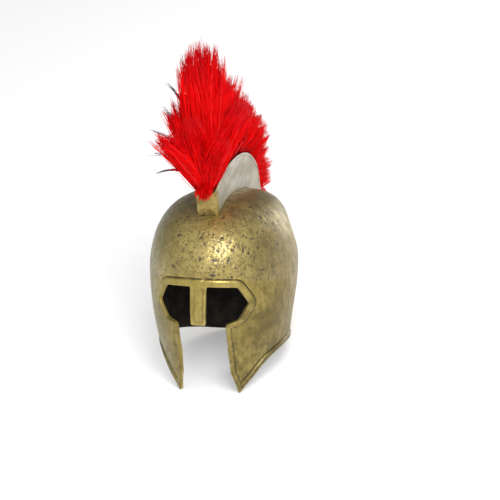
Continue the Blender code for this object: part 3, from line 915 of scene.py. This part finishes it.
def lock_places():
    """Every lock as place along the crest, side from -1 to 1, length, lean and spread."""
    chance = random.Random(LOCK_SEED)
    for k in range(LOCK_STATIONS):
        for side in (-1, 0, 1):
            along = (k + 0.5 + 0.25 * side) / LOCK_STATIONS
            length = table_value(PLUME_PROFILE, along, 1) * chance.uniform(*LENGTH_VARIETY)
            lean = table_value(PLUME_PROFILE, along, 2) + chance.uniform(-LEAN_VARIETY, LEAN_VARIETY)
            spread = side * LOCK_SPREAD * chance.uniform(*SPREAD_VARIETY)
            if side:
                length *= SIDE_LOCK_LENGTH
            yield along, side * SIDE_LOCK_PLACE, length, math.radians(lean), spread
    for along, side, length, lean, spread in STRAY_TUFTS:
        yield along, side, length, math.radians(lean), math.radians(spread)


HAIR_SEED = 5
HAIRS_PER_LOCK = 400
HAIRS_BY_LENGTH = (0.36, 0.70)
CLUMPS_PER_LOCK = 24
HAIR_POINTS = 7
HAIR_SIDES = 3
HAIR_RADIUS = 0.00053
HAIR_TIP = 0.30
HAIR_TAPER = 2.5
CLUMP_SPREAD = 0.30
CLUMP_DRIFT = 0.30
TIP_GATHER = 0.60
CLUMP_LONGEST = 1.03
CLUMP_SHORTER = 0.24
HAIR_ENDS = (0.88, 1.0)
OUTER_SHORT = 0.05
HAIR_WAVE = 0.0014
ROOT_RUN = 1.05
FLY_SHARE = 0.05
FLY_OUT = 1.6
PLUME_PIECES = 5
CORE_SIDES = 8
CORE_SHAPE = (
    # along, share of the lock's radius
    (0.00, 0.50),
    (0.18, 0.78),
    (0.40, 0.80),
    (0.56, 0.60),
    (0.66, 0.12),
)

# Single dark wisps at the front, from the crest's front end. Reaches are shares of PLUME_LENGTH.
WISPS = (
    # right, forward and up reach of the tip, then of the bend before it
    (-0.40, 0.30, 0.24, -0.16, 0.10, 0.30),
    (-0.42, 0.20, 0.44, -0.10, 0.05, 0.34),
    (-0.30, 0.34, 0.10, -0.16, 0.14, 0.20),
    (-0.36, 0.02, 0.80, -0.14, 0.00, 0.70),
    (-0.34, 0.10, 0.62, -0.10, 0.05, 0.36),
    (-0.22, 0.06, 1.00, -0.10, 0.00, 0.62),
)
# Short hair that hangs over the crest's front end, as rows of the table of stray tufts
FRINGE = (
    (0.00, 0.05, 0.16, 112, 0),
    (0.00, -0.2, 0.13, 80, 12),
    (0.00, 0.3, 0.10, 88, -16),
)
WISP_HAIRS = 9
WISP_SPREAD = 0.0022
WISP_DARK = 0.45


def bezier(root, middle, tip, shares):
    """Points on curves from a root to a tip, bent towards the middle. Shares has a row for each curve."""
    u = shares[:, :, None]
    return root * (1 - u) ** 2 + middle * 2 * u * (1 - u) + tip * u * u


def lock_line(along, side, length, lean, spread):
    """Root, middle and tip of a lock's bowed line, its direction and its radius."""
    along = min(max(along, END_MARGIN), 1 - END_MARGIN)
    low = crest_top(along) - LIP_HEIGHT + SEAT_GAP
    radius = LOCK_RADIUS * (SHORT_LOCK + (1 - SHORT_LOCK) * length)
    half = CREST_WIDTH / 2 - LIP_WIDTH - SEAT_GAP
    root = arch_point(side * (half - radius * ROOT_SHARE), along, low + BACKING_THICK / 2)
    outward = np.array(crest_square(along))
    direction = np.array(lock_direction(lean, spread))
    tip = root + direction * PLUME_LENGTH * length
    bow = (outward - direction * (outward @ direction)) * PLUME_LENGTH * length * LOCK_BOW
    return root, (root + tip) / 2 + bow, tip, direction, radius


def lock_hairs(chance, along, side, length, lean, spread):
    """Points, sizes, shades and places of the hairs of one lock, in small clumps."""
    root, middle, tip, direction, radius = lock_line(along, side, length, lean, spread)
    count = round(HAIRS_PER_LOCK * (HAIRS_BY_LENGTH[0] + HAIRS_BY_LENGTH[1] * length))
    clump = chance.integers(0, CLUMPS_PER_LOCK, count)
    number = np.arange(CLUMPS_PER_LOCK)
    angle = (number + chance.uniform(0, 1)) * 2.4
    out = np.sqrt((number + 0.5) / CLUMPS_PER_LOCK)
    centre = np.stack([np.cos(angle), np.sin(angle)], axis=1) * out[:, None]
    drift = chance.normal(0, CLUMP_DRIFT, (CLUMPS_PER_LOCK, 2))
    shorter = CLUMP_SHORTER * chance.uniform(0, 1, CLUMPS_PER_LOCK) ** 1.6
    clump_end = (CLUMP_LONGEST - shorter) * (1 - OUTER_SHORT * out**2)
    clump_shade = chance.uniform(0, 1, CLUMPS_PER_LOCK)
    end = clump_end[clump] * chance.uniform(*HAIR_ENDS, count)
    stations = np.linspace(0, 1, HAIR_POINTS)
    share = stations * end[:, None]
    fly = chance.random(count) < FLY_SHARE
    loose = chance.normal(0, CLUMP_SPREAD, (count, 2)) * np.where(fly, FLY_OUT, 1)[:, None]
    gather = np.where(fly[:, None], 1, 1 - TIP_GATHER * stations**1.6)
    place = centre[clump][:, None, :] + drift[clump][:, None, :] * share[:, :, None] ** 2
    place = place + loose[:, None, :] * gather[:, :, None]
    size = np.linalg.norm(place, axis=2, keepdims=True)
    limit = np.where(fly, 1.3, 1.08)[:, None, None]
    place *= np.minimum(1, limit / np.maximum(size, 1e-6))
    thick = np.interp(share, *zip(*LOCK_SPREADS))[:, :, None] * radius
    phase = chance.uniform(0, 2 * math.pi, (count, 1, 2))
    wave = HAIR_WAVE * np.sin(share[:, :, None] * 8 + phase) * share[:, :, None]
    run = np.maximum(thick, radius * ROOT_RUN)
    offset = place * np.concatenate([run, thick], axis=2) + wave
    first = unit(np.cross(direction, (1.0, 0, 0))[None, :])[0]
    second = np.cross(direction, first)
    points = bezier(root, middle, tip, share) + offset[:, :, :1] * first + offset[:, :, 1:] * second
    taper = 1 - (1 - HAIR_TIP) * stations**HAIR_TAPER
    sizes = HAIR_RADIUS * chance.uniform(0.7, 1.2, (count, 1)) * taper
    shade = 0.5 * clump_shade[clump] + 0.5 * chance.uniform(0, 1, count)
    return points, sizes, np.repeat(shade[:, None], HAIR_POINTS, axis=1), np.tile(stations, (count, 1))


def wisp_hairs(chance, row):
    """Points, sizes, shades and places of the hairs of one dark wisp."""
    reach = np.array(row) * PLUME_LENGTH * (1, -1, 1, 1, -1, 1)
    root = arch_point(0, END_MARGIN, crest_top(END_MARGIN))
    stations = np.linspace(0, 1, HAIR_POINTS)
    share = stations * chance.uniform(0.8, 1.0, (WISP_HAIRS, 1))
    points = bezier(root, root + reach[3:], root + reach[:3], share)
    loose = chance.normal(0, WISP_SPREAD, (WISP_HAIRS, 1, 3))
    points = points + loose * (1 - 0.75 * stations)[:, None]
    taper = 1 - (1 - HAIR_TIP) * stations**HAIR_TAPER
    sizes = np.full((WISP_HAIRS, 1), HAIR_RADIUS) * taper
    return points, sizes, np.zeros(sizes.shape), np.tile(WISP_DARK + stations, (WISP_HAIRS, 1))


def hairs():
    """Points, sizes, shades and places along it of every hair."""
    chance = np.random.default_rng(HAIR_SEED)
    found = [lock_hairs(chance, *place) for place in lock_places()]
    for along, side, length, lean, spread in FRINGE:
        found.append(lock_hairs(chance, along, side, length, math.radians(lean), math.radians(spread)))
    found += [wisp_hairs(chance, row) for row in WISPS]
    return tuple(np.concatenate(values) for values in zip(*found))


def tube(points, sizes, sides):
    """Rings round rows of points and the triangles of the closed tubes between them."""
    count, stations = sizes.shape
    ahead = np.gradient(points, axis=1)
    ahead /= np.maximum(np.linalg.norm(ahead, axis=2, keepdims=True), 1e-9)
    first = np.cross(ahead, (0.31, 0.17, 0.93))
    first /= np.maximum(np.linalg.norm(first, axis=2, keepdims=True), 1e-9)
    second = np.cross(ahead, first)
    corners = []
    for k in range(sides):
        angle = 2 * math.pi * k / sides
        corners.append(points + (first * math.cos(angle) + second * math.sin(angle)) * sizes[:, :, None])
    verts = np.stack(corners, axis=2).reshape(-1, 3)
    starts = np.arange(count)[:, None, None] * stations * sides
    base = starts + np.arange(stations - 1)[None, :, None] * sides
    k = np.arange(sides)[None, None, :]
    after = (k + 1) % sides
    low = np.stack([base + k, base + after, base + sides + after], axis=-1)
    high = np.stack([base + k, base + sides + after, base + sides + k], axis=-1)
    fan = np.array([(0, i + 1, i + 2) for i in range(sides - 2)])
    foot = starts + fan[None, :, ::-1]
    end = starts + (stations - 1) * sides + fan[None, :, :]
    return verts, np.concatenate([part.reshape(-1, 3) for part in (low, high, foot, end)])


def plume_core(material):
    """Short fat locks inside the hair, so that nothing shows through it."""
    rows, sizes = [], []
    shape = np.array(CORE_SHAPE)
    for place in lock_places():
        root, middle, tip, _, radius = lock_line(*place)
        rows.append(bezier(root, middle, tip, shape[None, :, 0])[0])
        sizes.append(shape[:, 1] * radius)
    verts, faces = tube(np.array(rows), np.array(sizes), CORE_SIDES)
    return mesh_piece("plume_core", to_world(verts), faces, material)


def plume(material, shaded_core_material):
    """The red hair in strands over a core that fills the locks, painted dark red as the shade inside the
    hair.
    """
    points, sizes, shades, places = hairs()
    order = np.argsort(points[:, 0, 1])
    core = plume_core(shaded_core_material)
    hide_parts("plume")
    made = [core]
    for k, chosen in enumerate(np.array_split(order, PLUME_PIECES)):
        verts, faces = tube(points[chosen], sizes[chosen], HAIR_SIDES)
        shade, along = (np.repeat(values[chosen].ravel(), HAIR_SIDES) for values in (shades, places))
        values = {"shade": shade, "along": along}
        made.append(mesh_piece(f"plume_hair_{k + 1}", to_world(verts), faces, material, values))
    for obj in made:
        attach(obj, "root")


class Nodes:
    """A node tree, built from short calls."""

    def __init__(self, owner):
        owner.use_nodes = True
        self.tree = owner.node_tree

    def put(self, node, inputs):
        """Sets a node's inputs, each from a socket of another node or from a plain value."""
        for key, value in inputs.items():
            if isinstance(value, bpy.types.NodeSocket):
                self.tree.links.new(value, node.inputs[key])
            else:
                node.inputs[key].default_value = value

    def add(self, kind, inputs, **settings):
        """A new node's outputs."""
        node = self.tree.nodes.new(kind)
        for key, value in settings.items():
            setattr(node, key, value)
        self.put(node, inputs)
        return node.outputs

    def scaled(self, value, low, high, out_low=0.0, out_high=1.0):
        inputs = {"Value": value, "From Min": low, "From Max": high, "To Min": out_low, "To Max": out_high}
        return self.add("ShaderNodeMapRange", inputs, interpolation_type="SMOOTHSTEP")["Result"]


class Paint(Nodes):
    """A material of the Principled shader."""

    def __init__(self, name):
        self.material = bpy.data.materials.new(name)
        super().__init__(self.material)
        self.place = self.add("ShaderNodeTexCoord", {})["Object"]

    def noise(self, scale, detail, rough=0.55, stretch=None):
        place = self.place
        if stretch:
            place = self.add("ShaderNodeMapping", {"Vector": place, "Scale": stretch})["Vector"]
        inputs = {"Vector": place, "Scale": scale, "Detail": detail, "Roughness": rough}
        return self.add("ShaderNodeTexNoise", inputs)["Fac"]

    def attribute(self, name):
        return self.add("ShaderNodeAttribute", {}, attribute_name=name)["Fac"]

    def math(self, operation, first, second):
        return self.add("ShaderNodeMath", {0: first, 1: second}, operation=operation)[0]

    def times(self, first, second):
        return self.math("MULTIPLY", first, second)

    def mix(self, share, first, second):
        """A mix of two colours, each a socket or sRGB numbers out of 255."""
        inputs = {0: share}
        for key, colour in ((6, first), (7, second)):
            inputs[key] = colour if isinstance(colour, bpy.types.NodeSocket) else (*linear(*colour), 1)
        return self.add("ShaderNodeMix", inputs, data_type="RGBA")[2]

    def bump(self, height, distance, strength):
        inputs = {"Height": height, "Distance": distance, "Strength": strength}
        return self.add("ShaderNodeBump", inputs)["Normal"]

    def finish(self, **values):
        inputs = {key.replace("_", " "): value for key, value in values.items()}
        self.put(self.tree.nodes["Principled BSDF"], inputs)
        return self.material


def linear(red, green, blue):
    """A colour in linear light from its sRGB numbers out of 255."""
    shares = [c / 255 for c in (red, green, blue)]
    return tuple(c / 12.92 if c <= 0.04045 else ((c + 0.055) / 1.055) ** 2.4 for c in shares)


def antique_gold():
    paint = Paint("antique_gold")
    blotch = paint.scaled(paint.noise(17, 4, 0.55), 0.36, 0.62)
    mottle = paint.scaled(paint.noise(120, 6, 0.66, (1, 1, 0.6)), 0.36, 0.72)
    patches = paint.scaled(paint.noise(100, 6, 0.75, (1, 1, 0.8)), 0.42, 0.66)
    shade_and_dirt = paint.attribute("shade_and_dirt")
    pitted = paint.attribute("pitted")
    tarnish_and_shade = paint.attribute("tarnish_and_shade")
    colour = paint.mix(blotch, (172, 152, 78), (196, 176, 102))
    colour = paint.mix(paint.times(mottle, 0.7), colour, (132, 112, 46))
    # Tarnish and painted shade darken the gold, and add dark patches, on the dome's top, the sides and the
    # lower part.
    dull_and_shade = paint.times(tarnish_and_shade, paint.scaled(paint.noise(30, 5, 0.6), 0.3, 0.62, 0.6, 1.0))
    colour = paint.mix(dull_and_shade, colour, (84, 68, 26))
    spotted = paint.times(patches, paint.scaled(tarnish_and_shade, 0.05, 0.5, 0.15, 0.75))
    colour = paint.mix(spotted, colour, (88, 80, 34))
    wearer_right = paint.scaled(paint.attribute("side"), -0.025, -0.070)
    colour = paint.mix(paint.times(wearer_right, 0.55), colour, (132, 127, 86))
    chips = paint.scaled(paint.noise(310, 4, 0.65), 0.565, 0.62)
    chips = paint.times(chips, paint.scaled(pitted, 0.15, 0.9))
    swirl = paint.math("ABSOLUTE", paint.math("SUBTRACT", paint.noise(110, 2, 0.6), 0.5), 0)
    swirl = paint.times(paint.scaled(swirl, 0.0, 0.022, 1, 0), paint.scaled(pitted, 0.3, 0.9))
    colour = paint.mix(paint.times(swirl, 0.5), colour, (92, 74, 24))
    colour = paint.mix(paint.times(chips, 0.8), colour, (70, 54, 14))
    # Painted shade and grime in the cut lines and pits, broken up by noise.
    broken = paint.times(shade_and_dirt, paint.scaled(paint.noise(150, 4, 0.6), 0.34, 0.52, 0.45, 1.1))
    colour = paint.mix(paint.scaled(broken, 0.08, 0.7), colour, (44, 34, 10))
    height = paint.math("ADD", paint.noise(170, 5, 0.6), paint.times(paint.noise(700, 2), 0.25))
    crinkle = paint.times(paint.noise(95, 5, 0.65), paint.times(pitted, 3.2))
    height = paint.math("ADD", height, crinkle)
    height = paint.math("SUBTRACT", height, paint.times(chips, 0.9))
    height = paint.math("SUBTRACT", height, swirl)
    rough = paint.math("ADD", paint.scaled(mottle, 0, 1, 0.34, 0.48), paint.times(tarnish_and_shade, 0.12))
    return paint.finish(
        Base_Color=colour,
        Roughness=rough,
        Metallic=paint.scaled(shade_and_dirt, 0.1, 0.9, 0.68, 0.2),
        Normal=paint.bump(height, 0.0005, 0.6),
        Coat_Weight=paint.scaled(pitted, 0.3, 0.9, 0.2, 0.9),
        Coat_Roughness=0.38,
    )


def crest_gold():
    paint = Paint("crest_gold")
    shade_and_dirt = paint.attribute("shade_and_dirt")
    front = paint.attribute("front")
    speckle = paint.scaled(paint.noise(380, 3, 0.6), 0.55, 0.64)
    mottle = paint.scaled(paint.noise(70, 5, 0.6, (1, 0.3, 1)), 0.36, 0.66)
    # The sides are painted pale: a painted reflection of the bright studio washing out the gold. Only the
    # front end stays gold.
    pale = paint.mix(mottle, (166, 159, 142), (148, 141, 125))
    gold = paint.mix(mottle, (172, 150, 86), (122, 102, 48))
    colour = paint.mix(front, pale, gold)
    speckle = paint.times(speckle, paint.scaled(front, 0, 1, 0.08, 0.55))
    colour = paint.mix(speckle, colour, (96, 80, 36))
    # Painted shade under the hair and in the cut line along each side.
    colour = paint.mix(paint.scaled(shade_and_dirt, 0.1, 0.9), colour, (58, 44, 20))
    return paint.finish(
        Base_Color=colour,
        Roughness=paint.scaled(mottle, 0, 1, 0.34, 0.52),
        Metallic=paint.scaled(shade_and_dirt, 0.1, 0.9, 0.6, 0.2),
        Normal=paint.bump(paint.noise(90, 3, 0.5, (1, 0.3, 1)), 0.0004, 0.3),
    )


def dark_inside():
    paint = Paint("dark_inside")
    mottle = paint.scaled(paint.noise(60, 6, 0.6), 0.35, 0.65)
    colour = paint.mix(mottle, (52, 42, 28), (24, 19, 13))
    return paint.finish(
        Base_Color=colour,
        Roughness=paint.scaled(mottle, 0, 1, 0.7, 0.85),
        Metallic=0.2,
        Normal=paint.bump(paint.noise(260, 4, 0.6), 0.0005, 0.5),
    )


def red_hair():
    paint = Paint("red_hair")
    shade = paint.attribute("shade")
    along = paint.attribute("along")
    colour = paint.mix(paint.scaled(shade, 0.1, 0.55), (222, 0, 1), (250, 0, 3))
    colour = paint.mix(paint.scaled(shade, 0.78, 0.98), colour, (255, 48, 50))
    colour = paint.mix(paint.scaled(along, 0.88, 1.06, 0, 0.6), colour, (120, 6, 30))
    colour = paint.mix(paint.scaled(along, 1.08, 1.35), colour, (60, 52, 66))
    # Darker roots: painted shade deep in the hair near the crest.
    colour = paint.mix(paint.scaled(along, 0.28, 0.0, 0, 0.7), colour, (120, 0, 2))
    return paint.finish(Base_Color=colour, Roughness=0.5, Specular_IOR_Level=0.12)


def shaded_hair_core():
    paint = Paint("shaded_hair_core")
    streaks = paint.scaled(paint.noise(240, 3, 0.6, (1, 1, 0.2)), 0.35, 0.65)
    # The core is painted a darker red than the hair: painted shade inside the plume.
    colour = paint.mix(streaks, (130, 0, 4), (190, 0, 6))
    return paint.finish(Base_Color=colour, Roughness=0.7, Normal=paint.bump(streaks, 0.001, 0.6))


def pale_floor():
    paint = Paint("pale_floor")
    white = (0.9, 0.9, 0.9, 1)
    return paint.finish(Base_Color=white, Roughness=0.85, Emission_Color=white, Emission_Strength=FLOOR_GLOW)


# The photograph's view of the wearer's head, in degrees, metres and pixels of a 500 pixel picture
VIEW_TURN = math.radians(15.5)
VIEW_RISE = math.radians(4)
VIEW_ROLL = math.radians(1.5)
VIEW_DISTANCE = 2.3
PIXEL = 0.00118
HEAD_PIXEL = (224.0, 278.3)
PICTURE = 500
SENSOR = 36
FLOOR_SIZE = 6.0
FLOOR_GLOW = 0.35
# Where the sky's ramp from front to back starts and ends, and its light there
SKY_RAMP = (-0.55, 0.45, 0.86, 0.25)
SKY_COLOUR = (0.97, 0.98, 1, 1)
LAMP_AIM = Vector((0, 0, 0.16))
LAMPS = (
    # name, place, size, power
    ("key", Vector((0.67, -1.03, 1.58)), 0.72, 21),
    ("rim", Vector((0.8, 1.39, 0.3)), 0.9, 12),
)


def camera():
    """The camera, at the photograph's angle to the helmet."""
    away = Vector((
        math.sin(VIEW_TURN) * math.cos(VIEW_RISE),
        -math.cos(VIEW_TURN) * math.cos(VIEW_RISE),
        math.sin(VIEW_RISE),
    ))
    level_right = Vector((math.cos(VIEW_TURN), math.sin(VIEW_TURN), 0))
    level_up = away.cross(level_right)
    right = level_right * math.cos(VIEW_ROLL) + level_up * math.sin(VIEW_ROLL)
    up = level_up * math.cos(VIEW_ROLL) - level_right * math.sin(VIEW_ROLL)
    target = right * (PICTURE / 2 - HEAD_PIXEL[0]) * PIXEL - up * (PICTURE / 2 - HEAD_PIXEL[1]) * PIXEL
    turn = STANCE.to_3x3()
    axes = Matrix([turn @ right, turn @ up, turn @ away]).transposed().to_4x4()
    data = bpy.data.cameras.new("camera")
    data.sensor_width = SENSOR
    data.lens = SENSOR * VIEW_DISTANCE / (PICTURE * PIXEL)
    data.clip_end = 30
    obj = add_object("camera", data)
    obj.matrix_world = Matrix.Translation(STANCE @ (target + away * VIEW_DISTANCE)) @ axes
    bpy.context.scene.camera = obj


def lamp(name, place, size, power):
    data = bpy.data.lights.new(name, "AREA")
    data.energy = power
    data.size = size
    obj = add_object(name, data)
    obj.location = place
    obj.rotation_euler = (LAMP_AIM - place).to_track_quat("-Z", "Y").to_euler()


def set_up():
    """A pale floor and soft studio light."""
    bm = bmesh.new()
    bmesh.ops.create_grid(bm, x_segments=1, y_segments=1, size=FLOOR_SIZE)
    mesh = bpy.data.meshes.new("floor")
    bm.to_mesh(mesh)
    bm.free()
    mesh.materials.append(pale_floor())
    add_object("floor", mesh)
    world = bpy.data.worlds.new("studio")
    sky = Nodes(world)
    place = sky.add("ShaderNodeTexCoord", {})["Generated"]
    ahead = sky.add("ShaderNodeSeparateXYZ", {0: place})["Y"]
    sky.put(sky.tree.nodes["Background"], {"Color": SKY_COLOUR, "Strength": sky.scaled(ahead, *SKY_RAMP)})
    bpy.context.scene.world = world
    bpy.context.scene.view_settings.view_transform = "Standard"
    for row in LAMPS:
        lamp(*row)


def main():
    helmet_shell(antique_gold(), dark_inside())
    crest_holder(crest_gold())
    plume(red_hair(), shaded_hair_core())
    camera()
    set_up()


main()
